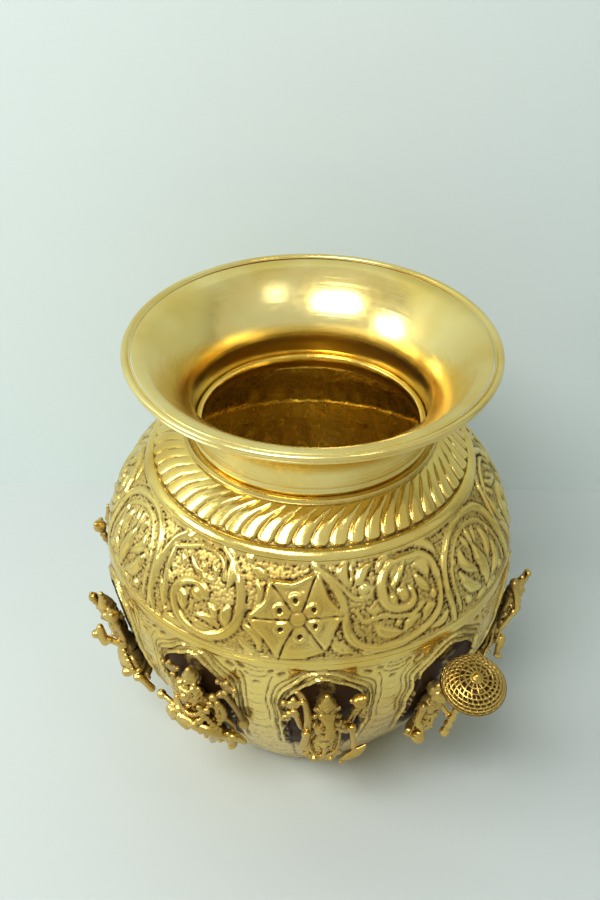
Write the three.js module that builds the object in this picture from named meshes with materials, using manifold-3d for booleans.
// A brass lota: a round-bellied ritual water pot with a trumpet mouth, and ten small cast
// figures fixed around its lower belly. Millimetres, +Z up, origin at the centre of the
// underside. Azimuth 0 faces -Y, and a positive azimuth turns towards +X.
import * as THREE from 'three';
import { mergeVertices } from 'three/addons/utils/BufferGeometryUtils.js';
import Module from 'manifold-3d';

const wasm = await Module();
wasm.setup();

// Body of the pot
const baseRadius = 36;            // flat underside
const baseThickness = 2;
const basePlugRadius = 30;        // plug of the base disc, which fills the hole in the bowl
const basePlugHeight = 1.6;
const bellyRadius = 75.5;         // widest radius
const bellyHeight = 83;           // height where the widest band starts
const bellyBand = 5;              // height of the widest band, which is upright
const bodyWall = 1.6;
const bowlFullness = 1.75;        // how quickly the bowl opens out from its base
const shoulderHeight = 138;       // ledge under the neck
const shoulderRadius = 43.6;      // outer radius of that ledge
const shoulderFullness = 2.2;     // how late the shoulder turns in
const seamHeight = 93;            // brazed seam between bowl and shoulder
const lapHeight = 4;              // lap of the bowl inside the shoulder
const lapWall = 1.2;

// Neck and mouth
const neckRadius = 42.5;
const neckWall = 1.5;
const collarWall = 2.2;           // collar of the shoulder, inside the neck
const collarHeight = 3.4;         // collar's height above the ledge
const neckHeight = 8;             // upright stretch of the neck, above the ledge
const mouthHeight = 171;          // top of the rim
const rimRadius = 65;
const rimWidth = 3.2;             // rim ring, measured along the radius
const rimDepth = 3.6;             // rim ring, measured along the height
const rimRound = 0.8;             // rounded corners of the rim ring

// Figures and their rivets
const figureCount = 10;
const figureAzimuth = 4.5;        // first figure, degrees
const figureHeight = 43;
const figureFoot = 42;            // height of the ground that the figures stand on
const standOff = 5.6;             // from the wall to the middle of a figure's foot
const plinthLow = -1.4;           // lotus under the feet, in the figure's own frame
const plinthTop = 2.2;
const plinthRadius = 5.4;
const plinthFlatness = 0.74;
const plinthOut = -2.4;
const rivetLevels = [54, 69];     // heights of the two rivets of a figure
const rivetRadius = 1;
const rivetHeadRadius = 2.2;
const rivetHeadHeight = 1.1;
const rivetGrip = 3;              // how far a rivet reaches out of the wall
const lugRadius = 2.1;            // lug on a figure's back, which takes the rivet

// The dwarf's umbrella: a thin dome on the end of his staff
const dwarfShift = -6;            // the dwarf stands to one side of its place
const umbrellaRadius = 11.6;
const umbrellaRise = 6;
const umbrellaWall = 1;
const umbrellaTilt = 2.4;         // outwards, degrees
const umbrellaTurn = 8.6;         // towards the dwarf's right hand, degrees
const umbrellaPlace = [0.3, 8.2, 35.8]; // middle of its rim, in the figure's own frame

// Embossing of the wall: the lines that stand out most. Points are [azimuth, height].
const lineWidth = 1.9;            // half the width of a line at its sunk foot
const lineRise = 0.9;             // above the wall
const lineSunk = 0.8;             // into the wall, whose facets curve away from the line
const archHalf = [[12.1, 60], [12.1, 76], [8.6, 84], [0, 90]];
const ringLow = 124.6;            // raised ring between the scrolls and the flutes
const ringHigh = 127.6;
const ringRise = 0.95;
const fluteCount = 58;
const fluteRise = 0.95;
const fluteValley = 0.2;
const fluteHeights = [136, 128.4];
const fluteLean = 0.8;            // degrees for each mm up
const scrollCount = 3;            // flowers around the shoulder, with the scrolls beside each
const flowerCentre = -3.5;
const flowerHeight = 109.3;
const flowerTip = 16;
const flowerWaist = 13;
const flowerRise = 1;
const scrollRight = [
  [5.3, 123.8], [10, 116.6], [13.3, 108.5], [16.6, 99.8], [24.5, 96.6], [34.5, 99], [43, 109.5],
  [38.5, 121], [26.6, 120], [25.4, 112],
];
const scrollLeft = [
  [-24, 124.2], [-18.2, 117.6], [-15.6, 109.5], [-18, 100.8], [-26, 96.9], [-34.6, 103], [-32.5, 112],
  [-26, 110.5],
];

// Clearances
const seatGap = 0.3;              // between pieces that rest on, or pass through, each other
const headGap = 0.6;              // under a rivet's flat head, where the wall curves away

// Facets
const potSides = 42;
const figureSides = 5;
const limbSides = 4;              // arms, staffs and hands, which are thin
const thinRadius = 1.35;          // up to this radius
const rivetSides = 6;
const bowlSteps = 8;
const shoulderSteps = 7;
const innerSteps = 6;
const flareSteps = 6;

const degree = Math.PI / 180;

const brass = { color: 0xc9ac4e, roughness: 0.3, metalness: 1 };
const finishes = {
  body: brass,
  mouth: { ...brass, color: 0xd3bb66, roughness: 0.26 },
  casting: { ...brass, color: 0xb8922f, roughness: 0.36 },
  rivet: { ...brass, color: 0xa98a3a, roughness: 0.45 },
};

// A closed geometry as a solid. Vertices that coincide are merged, and triangles that have
// no area, which a turned shape has where it meets its axis, are left out.
function solidOf(geometry) {
  const source = geometry.index ? geometry : mergeVertices(geometry, 1e-4);
  source.deleteAttribute('normal');
  source.deleteAttribute('uv');
  const merged = mergeVertices(source, 1e-4);
  const corners = merged.index.array;
  const kept = [];
  for (let i = 0; i < corners.length; i += 3) {
    const [a, b, c] = [corners[i], corners[i + 1], corners[i + 2]];
    if (a !== b && b !== c && c !== a) kept.push(a, b, c);
  }
  return new wasm.Manifold(new wasm.Mesh({
    numProp: 3,
    vertProperties: new Float32Array(merged.attributes.position.array),
    triVerts: new Uint32Array(kept),
  }));
}

function joined(geometries) {
  return geometries.map(solidOf).reduce((whole, piece) => whole.add(piece));
}

function meshOf(name, solid, finish) {
  const { vertProperties, triVerts } = solid.getMesh();
  const geometry = new THREE.BufferGeometry();
  geometry.setAttribute('position', new THREE.BufferAttribute(vertProperties, 3));
  geometry.setIndex(new THREE.BufferAttribute(triVerts, 1));
  geometry.computeVertexNormals();
  const mesh = new THREE.Mesh(geometry, new THREE.MeshStandardMaterial(finishes[finish]));
  mesh.name = name;
  return mesh;
}

// A profile of [radius, height] points, turned about the Z axis.
function turned(profile, sides) {
  const points = profile.map(([radius, height]) => new THREE.Vector2(radius, height));
  return new THREE.LatheGeometry(points, sides).rotateX(Math.PI / 2);
}

// Outer radius of the body at a height: the bowl opens out from the base and grows upright
// at the belly, and the shoulder turns in ever faster towards the neck.
function bodyRadius(height) {
  if (height < bellyHeight) {
    const rest = 1 - Math.max(height, 0) / bellyHeight;
    return baseRadius + (bellyRadius - baseRadius) * (1 - rest ** bowlFullness);
  }
  const bandTop = bellyHeight + bellyBand;
  const climb = Math.max(height - bandTop, 0) / (shoulderHeight - bandTop);
  return bellyRadius - (bellyRadius - shoulderRadius) * climb ** shoulderFullness;
}

// A point of the body's outer surface moved along its normal, inwards where inset > 0.
function wallPoint(height, inset = 0) {
  const step = 0.01;
  const slope = (bodyRadius(height + step) - bodyRadius(height - step)) / (2 * step);
  const length = Math.hypot(1, slope);
  return [bodyRadius(height) - inset / length, height + inset * slope / length];
}

function wallProfile(low, high, steps, inset = 0) {
  return Array.from({ length: steps + 1 }, (_, i) => wallPoint(low + (high - low) * i / steps, inset));
}

// A frame on the wall: its origin lies on the outer surface and its Z axis points outwards.
function wallFrame(azimuth, height) {
  const [radius] = wallPoint(height);
  const [innerRadius, innerHeight] = wallPoint(height, 1);
  const tilt = Math.atan2(height - innerHeight, radius - innerRadius);
  return new THREE.Matrix4()
    .makeRotationZ(azimuth * degree)
    .multiply(new THREE.Matrix4().makeTranslation(0, -radius, height))
    .multiply(new THREE.Matrix4().makeRotationX(Math.PI / 2 - tilt));
}

function wallSpot(azimuth, height, inset) {
  const [radius, up] = wallPoint(height, inset);
  return [radius * Math.sin(azimuth * degree), -radius * Math.cos(azimuth * degree), up];
}

// A closed strip between sections that are rings of as many points each. Where it runs all
// the way round, the last section is the first one again.
function strip(sections, allRound = false) {
  const size = sections[0].length;
  const corners = [];
  for (let i = 0; i + 1 < sections.length; i += 1) {
    for (let k = 0; k < size; k += 1) {
      const [a, b] = [i * size + k, i * size + (k + 1) % size];
      corners.push(a, b, b + size, a, b + size, a + size);
    }
  }
  const last = (sections.length - 1) * size;
  for (let k = 1; k + 1 < size && !allRound; k += 1) {
    corners.push(0, k + 1, k, last, last + k, last + k + 1);
  }
  const geometry = new THREE.BufferGeometry();
  geometry.setAttribute('position', new THREE.BufferAttribute(new Float32Array(sections.flat(2)), 3));
  geometry.setIndex(corners);
  return geometry;
}

// A raised line of the embossing: a ridge whose foot is sunk in the wall on both sides.
function wallLine(points, { grow = 0, centre = 0 } = {}) {
  return strip(points.map(([azimuth, height], i) => {
    const before = points[Math.max(i - 1, 0)];
    const after = points[Math.min(i + 1, points.length - 1)];
    const radius = bodyRadius(height);
    const stretch = Math.hypot(1, (bodyRadius(height + 0.5) - bodyRadius(height - 0.5)));
    const run = (after[0] - before[0]) * degree * radius;
    const climb = (after[1] - before[1]) * stretch;
    const length = Math.hypot(run, climb);
    const side = (sign) => wallSpot(
      centre + azimuth - sign * (lineWidth + grow) * climb / length / radius / degree,
      height + sign * (lineWidth + grow) * run / length / stretch,
      lineSunk,
    );
    return [side(1), wallSpot(centre + azimuth, height, -lineRise - grow), side(-1)];
  }));
}

function archOver(azimuth, grow = 0) {
  const left = archHalf.map(([across, height]) => [-across, height]);
  return wallLine([...left, ...archHalf.slice(0, -1).reverse()], { grow, centre: azimuth });
}

// The flutes under the neck: leaning lobes side by side, whose valleys stay over the wall.
function fluteBand() {
  const [high, low] = fluteHeights;
  return strip(Array.from({ length: 2 * fluteCount + 1 }, (_, k) => {
    const azimuth = (height) => k * 180 / fluteCount + (height - low) * fluteLean;
    const rise = k % 2 ? fluteValley : fluteRise;
    return [
      wallSpot(azimuth(high), high, lineSunk),
      ...fluteHeights.map((height) => wallSpot(azimuth(height), height, -rise)),
      wallSpot(azimuth(low), low, lineSunk),
    ];
  }), true);
}

// The flower: a star of six broad sectors, low over the wall.
function wallFlower(azimuth) {
  const around = (reach, inset) => Array.from({ length: 12 }, (_, k) => {
    const angle = k * Math.PI / 6;
    const far = (k % 2 ? flowerWaist : flowerTip) - reach;
    const radius = bodyRadius(flowerHeight);
    const slope = bodyRadius(flowerHeight + 0.5) - bodyRadius(flowerHeight - 0.5);
    const across = far * Math.cos(angle) / radius / degree;
    return wallSpot(azimuth + across, flowerHeight + far * Math.sin(angle) / Math.hypot(1, slope), inset);
  });
  const rings = [around(0, lineSunk), around(0.6, -flowerRise)];
  const centres = [wallSpot(azimuth, flowerHeight, lineSunk), wallSpot(azimuth, flowerHeight, -flowerRise)];
  const corners = [];
  for (let k = 0; k < 12; k += 1) {
    const next = (k + 1) % 12;
    corners.push(k, next, 12 + next, k, 12 + next, 12 + k, 24, next, k, 25, 12 + k, 12 + next);
  }
  const geometry = new THREE.BufferGeometry();
  const points = [...rings.flat(), ...centres].flat();
  geometry.setAttribute('position', new THREE.BufferAttribute(new Float32Array(points), 3));
  geometry.setIndex(corners);
  return geometry;
}

const bowlFloor = baseThickness + seatGap;

function baseDisc() {
  const plugTop = bowlFloor + basePlugHeight;
  return solidOf(turned([
    [0, 0],
    [baseRadius, 0],
    [bodyRadius(baseThickness), baseThickness],
    [basePlugRadius, baseThickness],
    [basePlugRadius, plugTop],
    [0, plugTop],
  ], potSides));
}

function bowlBlank() {
  const outer = wallProfile(bowlFloor, seamHeight, bowlSteps);
  const innerTop = seamHeight - lapHeight - lapWall;
  const inner = wallProfile(bowlFloor + bodyWall, innerTop, innerSteps, bodyWall).reverse();
  const hole = basePlugRadius + seatGap;
  const lapInset = bodyWall + seatGap;
  const lapOuter = wallPoint(seamHeight + lapHeight, lapInset)[0];
  const lapInner = wallPoint(seamHeight + lapHeight, lapInset + lapWall)[0];
  return solidOf(turned([
    [hole, bowlFloor],
    ...outer,
    [bodyRadius(seamHeight) - lapInset, seamHeight],
    [lapOuter, seamHeight + lapHeight],
    [lapInner, seamHeight + lapHeight],
    [lapInner, seamHeight - lapHeight],
    ...inner,
    [hole, bowlFloor + bodyWall],
    [hole, bowlFloor],
  ], potSides));
}

const collarOuter = neckRadius - neckWall - seatGap;
const collarInner = collarOuter - collarWall;

function shoulderShell() {
  const foot = seamHeight + seatGap;
  const outer = [
    ...wallProfile(foot, ringLow, shoulderSteps - 2),
    wallPoint(ringLow + ringRise, -ringRise),
    wallPoint(ringHigh - ringRise, -ringRise),
    ...wallProfile(ringHigh, shoulderHeight, 1),
  ];
  const throat = shoulderHeight - bodyWall;
  const inner = wallProfile(foot, shoulderHeight, innerSteps, bodyWall)
    .filter(([radius, height]) => radius > collarInner && height > foot && height < throat)
    .reverse();
  const footInner = bodyRadius(foot) - bodyWall;
  const lines = [fluteBand()];
  for (let i = 0; i < scrollCount; i += 1) {
    const centre = flowerCentre + i * 360 / scrollCount;
    lines.push(wallLine(scrollRight, { centre }), wallLine(scrollLeft, { centre }));
    lines.push(wallFlower(centre));
  }
  return solidOf(turned([
    [footInner, foot],
    ...outer,
    [collarOuter, shoulderHeight],
    [collarOuter, shoulderHeight + collarHeight],
    [collarInner, shoulderHeight + collarHeight],
    [collarInner, throat],
    ...inner,
    [footInner, foot],
  ], potSides)).add(joined(lines));
}

// Outer radius of the neck and mouth: straight, then a parabola that opens to the rim.
const flareRadius = rimRadius - rimWidth - seatGap;
const flareTop = mouthHeight - rimRound;
const flareStart = shoulderHeight + neckHeight;

function mouthRadius(height) {
  const climb = Math.max(height - flareStart, 0) / (flareTop - flareStart);
  return neckRadius + (flareRadius - neckRadius) * climb ** 2;
}

function mouthFlare() {
  const foot = shoulderHeight + seatGap;
  const climb = Array.from({ length: flareSteps + 1 }, (_, i) => i / flareSteps);
  const outer = climb.map((share) => {
    const height = flareStart + (flareTop - flareStart) * share;
    return [mouthRadius(height), height];
  });
  const inner = climb.map((share) => {
    const height = flareStart + (flareTop - flareStart) * share;
    const slope = 2 * (flareRadius - neckRadius) * share / (flareTop - flareStart);
    const length = Math.hypot(1, slope);
    return [mouthRadius(height) - neckWall / length, height + neckWall * slope / length];
  }).filter(([, height]) => height < flareTop - rimRound);
  const lip = flareRadius - neckWall;
  return solidOf(turned([
    [neckRadius - neckWall, foot],
    [neckRadius, foot],
    ...outer,
    [lip, flareTop],
    ...inner.reverse(),
    [neckRadius - neckWall, foot],
  ], potSides));
}

function rimRing() {
  const inner = rimRadius - rimWidth;
  const low = mouthHeight - rimDepth;
  return solidOf(turned([
    [inner, low + rimRound],
    [inner + rimRound, low],
    [rimRadius - rimRound, low],
    [rimRadius, low + rimRound],
    [rimRadius, mouthHeight - rimRound],
    [rimRadius - rimRound, mouthHeight],
    [inner + rimRound / 2, mouthHeight],
    [inner, mouthHeight - rimRound / 2],
    [inner, low + rimRound],
  ], potSides));
}

// Parts of the figures. A figure stands in a frame of its own, with its feet at height 0:
// x to its left hand, out away from the pot, and up. Sizes are shares of its height.
const unit = figureHeight / 42;
const spot = (x, out, up) => new THREE.Vector3(x * unit, -out * unit, up * unit);

function ball(centre, width, depth, height) {
  const thin = Math.max(width, depth, height) * unit <= thinRadius;
  return new THREE.SphereGeometry(1, thin ? limbSides : figureSides, thin ? 2 : 3)
    .rotateX(Math.PI / 2)
    .scale(width * unit, depth * unit, height * unit)
    .translate(...spot(...centre));
}

function rod(from, to, startRadius, endRadius = startRadius) {
  const sides = Math.max(startRadius, endRadius) * unit <= thinRadius ? limbSides : figureSides;
  const start = spot(...from);
  const end = spot(...to);
  const along = end.clone().sub(start);
  const axis = new THREE.Vector3(0, 1, 0);
  const turn = new THREE.Quaternion().setFromUnitVectors(axis, along.clone().normalize());
  const middle = start.clone().add(end).divideScalar(2);
  return new THREE.CylinderGeometry(endRadius * unit, startRadius * unit, along.length(), sides)
    .applyQuaternion(turn)
    .translate(...middle);
}

// Rods through a list of points.
function bent(points, radius) {
  return points.slice(1).map((point, i) => rod(points[i], point, radius));
}

function slab(centre, width, depth, height) {
  return new THREE.BoxGeometry(width * unit, depth * unit, height * unit).translate(...spot(...centre));
}

// A turned shape with an oval section, its axis at the given distance out.
function ovalTurned(profile, out, flatness, sides = figureSides) {
  return turned(profile, sides).scale(unit, unit * flatness, unit).translate(...spot(0, out, 0));
}

function crown(out, foot, top, radius, x = 0) {
  const rise = top - foot;
  return [ovalTurned([
    [0, foot - 0.5],
    [radius, foot - 0.5],
    [radius * 1.1, foot + rise * 0.2],
    [radius * 0.8, foot + rise * 0.45],
    [radius * 0.3, foot + rise * 0.85],
    [0, top],
  ], out, 1).translate(x * unit, 0, 0)];
}

function hand(side, point) {
  return ball([side * point[0], point[1], point[2]], 1.1, 1.1, 1.3);
}

// An arm widens a little towards its closed hand.
function arm(side, elbow, wrist) {
  const mirror = ([x, out, up]) => [side * x, out, up];
  return [
    rod([side * 3, 0.2, 24.8], mirror(elbow), 1.3, 1),
    rod(mirror(elbow), mirror(wrist), 0.9, 1.3),
  ];
}

function standingLegs(spread = 2.4) {
  return [-1, 1].flatMap((side) => [
    rod([side * spread, 0.3, plinthTop], [side * 2, 0.2, 14], 1.15, 2.1),
    ball([side * spread * 1.15, 1.6, 2.8], 1.1, 2.2, 0.9),
  ]);
}

// Hips, waist, chest, shoulders and neck of an upright figure.
function trunk(foot = 10.5) {
  return [ovalTurned([
    [0, foot],
    [3.4, foot + 0.6],
    [4.1, 15],
    [3, 18.6],
    [4.9, 24.4],
    [4.2, 25.8],
    [1.6, 26.6],
    [1.6, 29],
    [0, 29],
  ], 0.3, 0.68, figureSides + 1)];
}

function humanHead() {
  return [ball([0, 1.1, 30.2], 2.6, 2.8, 3.2), ...crown(0.9, 31.8, 42, 2.7)];
}

// Raised hands with a disc and a conch.
function raisedHands() {
  return [
    ...arm(-1, [7.6, 0.4, 23.2], [10.6, 0.6, 38]),
    ...arm(1, [7.6, 0.4, 23.2], [10, 0.6, 37.6]),
    rod([-11, 0, 39.4], [-11, 1.3, 39.4], 2.8),
    ball([10.4, 0.6, 39.2], 1.9, 1.8, 3.3),
  ];
}

function staff(foot, top, radius, knob) {
  return [rod(foot, top, radius), ball(top, knob, knob, knob * 1.3)];
}

function fishFigure() {
  const tail = [
    rod([0, 0.4, 14], [1.6, 1.6, 5], 3.9, 2.6),
    rod([1.6, 1.8, 5], [-1.2, 2.6, 2.6], 2.6, 1.7),
    rod([-1.2, 2.6, 2.6], [-4.4, 3, 4.4], 1.6, 1.2),
    rod([-4.4, 3, 4.4], [-8.4, 2.8, 9.4], 0.8, 1.4),
    rod([-4.4, 3, 4.4], [-9, 3, 1.8], 0.8, 1.4),
  ];
  return [
    ...tail, ...trunk(), ...humanHead(), ...raisedHands(),
    ...arm(-1, [6.4, 2.2, 19], [5.4, 4, 22.6]),
    ...arm(1, [6.6, 1.8, 18.6], [7.6, 3.4, 13.6]),
    ...staff([7.6, 3.4, 15], [8.4, 4.4, 3.2], 0.8, 1.5),
    rod([0.6, 0.6, 6.4], [0, -1.2, 1], 2.2, 2.4),
  ];
}

function tortoiseFigure() {
  return [
    ball([0, 1.6, 8], 6.4, 4.4, 4.6),
    ball([4.6, 4.2, 5.6], 2, 2.2, 1.8),
    ball([-4.8, 2.6, 5], 2.2, 2.4, 2.2),
    rod([0, 0, -1], [0, 0, 6], 3.4, 3),
    ...trunk(), ...humanHead(),
    ...arm(-1, [8.6, 1.6, 22], [10.2, 3.2, 26]),
    ...staff([-10.4, 3.6, 20], [-10.8, 4.4, 30.5], 0.8, 1.7),
    ...arm(1, [7.6, 1.2, 20], [5, 5.8, 24]),
    rod([4.8, 6.2, 31.4], [4.4, 7, 22.4], 1.3, 1.5),
    ball([4.2, 8.4, 28.2], 1.5, 1.5, 1.5),
    ...arm(1, [7.6, 0.4, 23.2], [9.2, 0.2, 36.4]),
    ball([9.4, 0.2, 37.8], 1.9, 1.8, 3.3),
  ];
}

function boarFigure() {
  return [
    ...standingLegs(), ...trunk(), ...raisedHands(),
    rod([0, 0.4, 27], [0.2, 0.8, 32.6], 1.9),
    ball([0.2, 1, 33.6], 3.3, 3.2, 3.4),
    rod([0.4, 2.6, 33.6], [1.3, 6.2, 27.6], 2.5, 1.7),
    rod([1.2, 5.8, 28.4], [1.5, 6.6, 26.9], 1.9, 1.9),
    ball([-2.6, 0.9, 36], 1.3, 0.9, 1.8),
    ball([3, 0.9, 36], 1.3, 0.9, 1.8),
    ...crown(-0.2, 35.8, 43, 2.9, 0.1),
    ...arm(-1, [6.6, 1.6, 19.4], [6.4, 2.6, 24.2]),
    ...bent([[-9.2, -1.8, 42.6], [-6.4, 0.2, 35], [-5.9, 1.8, 28], [-6.6, 2.6, 13]], 1.1),
    ball([-6.1, 2.6, 12.2], 1.7, 1.5, 1.7),
    ...arm(1, [7.2, 1.4, 21], [8.4, 3.2, 26.8]),
    rod([8.6, 3.4, 27], [10.2, 5, 11.4], 0.9, 0.75),
    rod([6, 5.2, 6.2], [10.2, 5.5, 11], 0.7, 1.7),
    rod([10.2, 5.5, 11], [14.2, 4.4, 15.6], 1.7, 0.4),
  ];
}

// The lion sits, with a limp body across its lap, and reaches out to its left.
function lionFigure() {
  return [
    slab([1.5, -1.2, 1.5], 14, 6, 5),
    rod([3, 0.6, 13.5], [8.6, 3.4, 14.4], 2.4, 2.1),
    rod([8.6, 3.4, 14.6], [6.4, 2.2, 3], 2, 1.3),
    rod([-1, 0.6, 13.5], [-6.4, 3.4, 13.8], 2.4, 2.1),
    rod([-6.4, 3.4, 14], [-4.6, 2.2, 3], 2, 1.3),
    ...trunk().map((piece) => piece.translate(unit, 0, 3.5 * unit)),
    ball([1.8, 1.3, 34.2], 4.8, 2.9, 4.6),
    ball([1.8, 4.2, 33.5], 1.8, 1.6, 1.5),
    ...crown(-0.4, 36.6, 43.6, 2.8, 1.9),
    ...arm(-1, [6.4, 0.2, 27], [6.7, -1, 35.6]),
    rod([-6.8, -1.7, 36.6], [-6.8, -0.4, 36.6], 2.7),
    ...arm(1, [8.2, -0.2, 28.6], [13.6, -2.6, 36]),
    rod([14.6, -3.4, 37], [14.6, -2.1, 37], 2.8),
    rod([12.4, -2.1, 34], [17, -2.7, 15.8], 0.9),
    ball([17, -2.6, 15.4], 2, 1.8, 1.9),
    ...arm(1, [10.2, 0.4, 27], [10.8, 1.2, 21.6]),
    ...arm(-1, [5.6, 2.6, 22], [3.4, 4.8, 19.4]),
    ...arm(1, [7.4, 2.8, 22.4], [4.6, 5, 19.6]),
    rod([-7, 4.6, 17.4], [3, 5.4, 17.2], 1.8, 1.9),
    rod([3, 5.4, 17.2], [8.2, 4.2, 15.4], 1.9, 1.7),
    rod([8, 4.4, 15.8], [11, 0.6, 2.4], 1.6, 1.1),
    ball([-8.8, 5.1, 17.2], 2.5, 2.2, 2.5),
  ];
}

// The dwarf stands to one side of its place, under the umbrella whose staff it holds in its
// left hand. A water pot hangs from the other hand.
function dwarfFigure() {
  const body = [
    ...standingLegs(2.2),
    ...trunk(10.5).map((piece) => piece.translate(0, 0, -4.4 * unit)),
    ball([0, 1.2, 25.6], 2.9, 3, 3.3),
    ball([0, 0.2, 29.4], 1.7, 1.6, 1.7),
    rod([3.4, 0.4, 20.4], [4.7, 2.4, 15], 1.2, 1),
    rod([4.7, 2.4, 15], [6.1, 5.8, 11.4], 0.9, 1.3),
    rod([-3.6, 0.4, 20.4], [-6.5, 1.6, 15.2], 1.2, 1),
    rod([-6.5, 1.6, 15.2], [-6.1, 4, 8.6], 0.9, 1),
    ball([-6.1, 4.2, 6.6], 2.4, 2.4, 2.7),
  ].map((piece) => piece.translate(dwarfShift, 0, 0));
  const reach = (umbrellaRise - umbrellaWall - seatGap) / unit;
  const lower = reach * Math.cos(umbrellaTurn * degree);
  const top = [
    umbrellaPlace[0] - reach * Math.sin(umbrellaTurn * degree),
    umbrellaPlace[1] + lower * Math.sin(umbrellaTilt * degree),
    umbrellaPlace[2] + lower * Math.cos(umbrellaTilt * degree),
  ];
  return [
    ...body,
    ...bent([[0.2, 7, 3], [0.3, 7, 24], umbrellaPlace, top], 0.8),
    ball([0.3, 7, 2.2], 1.7, 1.7, 2),
    ball([0.2, 7, 7.6], 1.5, 1.5, 1.5),
  ];
}

function umbrellaDome() {
  const steps = 5;
  const arc = (radius, rise) => Array.from({ length: steps + 1 }, (_, i) => {
    const angle = Math.PI / 2 * i / steps;
    return [radius * Math.cos(angle), rise * Math.sin(angle)];
  });
  const inner = arc(umbrellaRadius - umbrellaWall, umbrellaRise - umbrellaWall).reverse();
  const outer = arc(umbrellaRadius, umbrellaRise);
  const dome = turned([...inner.slice(0, -1), [umbrellaRadius - umbrellaWall, 0], ...outer], 20);
  const finial = turned([[0, umbrellaRise - 0.5], [1.6, umbrellaRise], [0, umbrellaRise + 2]], rivetSides);
  return [dome, finial];
}

function axeBearerFigure() {
  return [
    ...standingLegs(), ...trunk(), ...humanHead(),
    ...arm(-1, [7.2, 1.2, 20.5], [4.8, 3.2, 29]),
    rod([-4.8, 3.4, 28], [-3.8, -1, 39.4], 1.3),
    ball([-3.6, -1.2, 40], 1.9, 1.7, 1.9),
    ...bent([[-2.4, 1.5, 9.6], [-3.6, 4.2, 12], [-3.6, 5.4, 4.4]], 1.4),
    ball([-3.6, 6, 3.8], 1.1, 1.7, 1),
    ...arm(1, [8.2, 1.6, 21], [9, 3.4, 25]),
    rod([9, 4.2, 14], [9, 4.2, 36.6], 0.9),
    slab([11.2, 4.2, 31], 3.8, 1.2, 5.2),
  ];
}

function bowBearerFigure() {
  return [
    ...standingLegs(), ...trunk(), ...humanHead(),
    ...arm(1, [7.8, 1.6, 21], [9.8, 4, 24.5]),
    ...arm(-1, [6.8, 1.6, 19], [5.8, 4.2, 16]),
    ...bent([[8, 3.2, 7], [11, 4.4, 14], [10.4, 4.6, 24.5], [11, 4.2, 33], [8, 3, 39]], 0.7),
    rod([-5.8, 4.8, 8], [-5.8, 4.6, 26], 0.6),
    ball([-5.8, 4.6, 27.4], 1, 0.9, 2),
  ];
}

function ploughBearerFigure() {
  return [
    ...standingLegs(), ...trunk(), ...humanHead(),
    ...arm(1, [7.8, 1.6, 20.5], [8.8, 4, 23]),
    ...arm(-1, [7, 1.4, 19], [6.4, 4, 14.5]),
    ...bent([[8.8, 4.4, 10], [8.8, 4.4, 31], [5.4, 4.8, 36], [11.5, 4.2, 38]], 0.9),
    rod([-6.4, 4.6, 6], [-6.4, 4.6, 20], 0.9, 1.4),
  ];
}

function flutePlayerFigure() {
  return [
    rod([-2.4, 0.4, 0], [-2, 0.2, 14], 1.2, 2.1),
    ball([-2.4, 1.6, 0.7], 1.3, 2.3, 1),
    ...bent([[2, 0.6, 14], [3.4, 2.6, 7], [-0.6, 3.8, 1.4]], 1.5),
    ...trunk(), ...humanHead(),
    ...arm(1, [7.6, 3, 24], [4.6, 5, 28]),
    ...arm(-1, [7.6, 3, 23], [3.2, 5, 27.6]),
    rod([-4.6, 4.6, 27.6], [9.6, 5.2, 29.4], 0.8),
    rod([0, 1.4, 32], [0, 2.6, 36], 2.8, 1.6),
  ];
}

function horseRiderFigure() {
  return [
    rod([-6, 1.6, 9], [6, 1.6, 9.6], 3.5, 3.3),
    rod([5.4, 1.8, 10.4], [9.4, 2.6, 17], 2.4, 1.7),
    rod([9, 2.6, 17], [12, 3.2, 13.4], 1.8, 1.2),
    ...[-5.2, -3.4, 3.8, 5.6].map((x, i) => rod([x, 1.6 + i % 2, -1], [x * 0.9, 1.6, 8], 1, 1.5)),
    rod([0, -0.8, 1.4], [0, 0.8, 8], 2, 2.2),
    rod([-5, 1.6, 10], [-10.6, 1.8, 3.4], 1.6, 0.8),
    ...trunk(8), ...humanHead(),
    rod([1.4, 3.4, 13], [2.6, 5.2, 5], 1.8, 1.2),
    ...arm(-1, [7.8, 2, 24], [9, 3.4, 30]),
    ...arm(1, [7.2, 2.6, 20], [6.6, 4.6, 17]),
    rod([-9, 3.8, 29], [-4.6, 4.2, 40.5], 1, 0.5),
  ];
}

// Lotus under the feet, and a lug at each rivet, all reaching back into the wall: the cut
// along the wall's outside then seats them.
function plinth() {
  const middle = (plinthLow + plinthTop) / 2;
  return ovalTurned([
    [0, plinthLow],
    [plinthRadius * 0.7, plinthLow],
    [plinthRadius, middle - 0.3],
    [plinthRadius * 0.85, plinthTop],
    [0, plinthTop],
  ], plinthOut, plinthFlatness, rivetSides);
}

const lean = Math.atan2(bodyRadius(figureFoot + figureHeight) - bodyRadius(figureFoot), figureHeight);

function figurePlace(azimuth) {
  return new THREE.Matrix4()
    .makeRotationZ(azimuth * degree)
    .multiply(new THREE.Matrix4().makeTranslation(0, -bodyRadius(figureFoot) - standOff, figureFoot))
    .multiply(new THREE.Matrix4().makeRotationX(lean));
}

function pin(radius, from, to) {
  return new THREE.CylinderGeometry(radius, radius, to - from, rivetSides)
    .rotateX(Math.PI / 2)
    .translate(0, 0, (from + to) / 2);
}

function rivetSolid() {
  const seat = -bodyWall - headGap;
  return solidOf(turned([
    [0, seat - rivetHeadHeight],
    [rivetHeadRadius * 0.7, seat - rivetHeadHeight],
    [rivetHeadRadius, seat],
    [rivetRadius, seat],
    [rivetRadius, rivetGrip],
    [0, rivetGrip],
  ], rivetSides));
}

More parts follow.
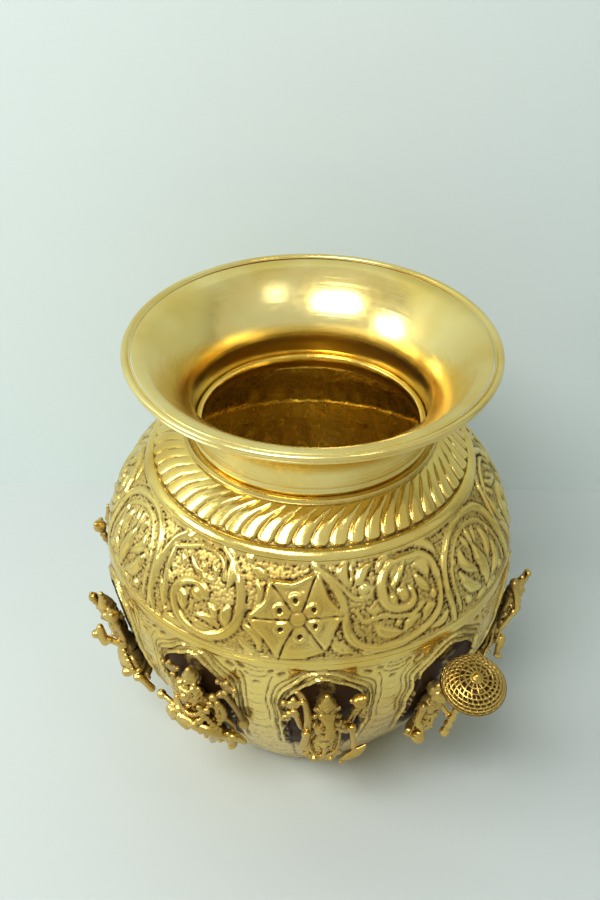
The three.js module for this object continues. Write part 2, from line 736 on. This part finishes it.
const lota = new THREE.Group();
lota.name = 'lota';
lota.add(meshOf('base_disc', baseDisc(), 'body'));
lota.add(meshOf('shoulder_shell', shoulderShell(), 'body'));
lota.add(meshOf('mouth_flare', mouthFlare(), 'mouth'));
lota.add(meshOf('rim_ring', rimRing(), 'mouth'));

const wallOutside = solidOf(turned([
  [0, bowlFloor],
  ...wallProfile(bowlFloor, seamHeight, bowlSteps, -seatGap),
  ...wallProfile(seamHeight + seatGap, shoulderHeight, shoulderSteps, -seatGap),
  [0, shoulderHeight],
], potSides));

const figures = [
  ['boar', boarFigure, 0],
  ['dwarf', dwarfFigure, dwarfShift],
  ['axe_bearer', axeBearerFigure, 0],
  ['bow_bearer', bowBearerFigure, 0],
  ['plough_bearer', ploughBearerFigure, 0],
  ['flute_player', flutePlayerFigure, 0],
  ['horse_rider', horseRiderFigure, 0],
  ['fish', fishFigure, 0],
  ['tortoise', tortoiseFigure, 0],
  ['lion', lionFigure, 0],
];

let bowl = bowlBlank();

figures.forEach(([name, shape, shift], i) => {
  const azimuth = figureAzimuth + i * 360 / figureCount;
  const place = figurePlace(azimuth);
  const toFigure = place.clone().invert();
  const turnAside = Math.atan2(shift, bodyRadius(figureFoot) + standOff) / degree;
  const frames = rivetLevels.map((height) => wallFrame(azimuth + turnAside, height));
  const lugs = frames.map((frame) => (
    pin(lugRadius, -bodyWall, standOff).applyMatrix4(frame).applyMatrix4(toFigure)));
  const sockets = frames.map((frame) => (
    pin(rivetRadius + seatGap, -bodyWall, rivetGrip + seatGap).applyMatrix4(frame).applyMatrix4(toFigure)));
  const stand = plinth().translate(shift, 0, 0);
  const wall = wallOutside.add(solidOf(archOver(azimuth, seatGap)));
  const casting = joined([...shape(), stand, ...lugs])
    .subtract(wall.transform(toFigure.elements))
    .subtract(joined(sockets));
  bowl = bowl.add(solidOf(archOver(azimuth)));

  const group = new THREE.Group();
  group.applyMatrix4(place);
  group.add(meshOf(`${name}_figure`, casting, 'casting'));
  lota.add(group);

  frames.forEach((frame, level) => {
    const rivet = meshOf(`${name}_rivet_${['lower', 'upper'][level]}`, rivetSolid(), 'rivet');
    rivet.applyMatrix4(frame);
    lota.add(rivet);
    const hole = pin(rivetRadius + seatGap, -3 * bodyWall, 2 * bodyWall).applyMatrix4(frame);
    bowl = bowl.subtract(solidOf(hole));
  });
});

lota.add(meshOf('bowl_shell', bowl, 'body'));

const umbrella = meshOf('umbrella_dome', joined(umbrellaDome()), 'casting');
umbrella.position.copy(spot(...umbrellaPlace));
umbrella.rotation.set(umbrellaTilt * degree, -umbrellaTurn * degree, 0);
const umbrellaGroup = new THREE.Group();
umbrellaGroup.applyMatrix4(figurePlace(figureAzimuth + 360 / figureCount));
umbrellaGroup.add(umbrella);
lota.add(umbrellaGroup);

export default lota;
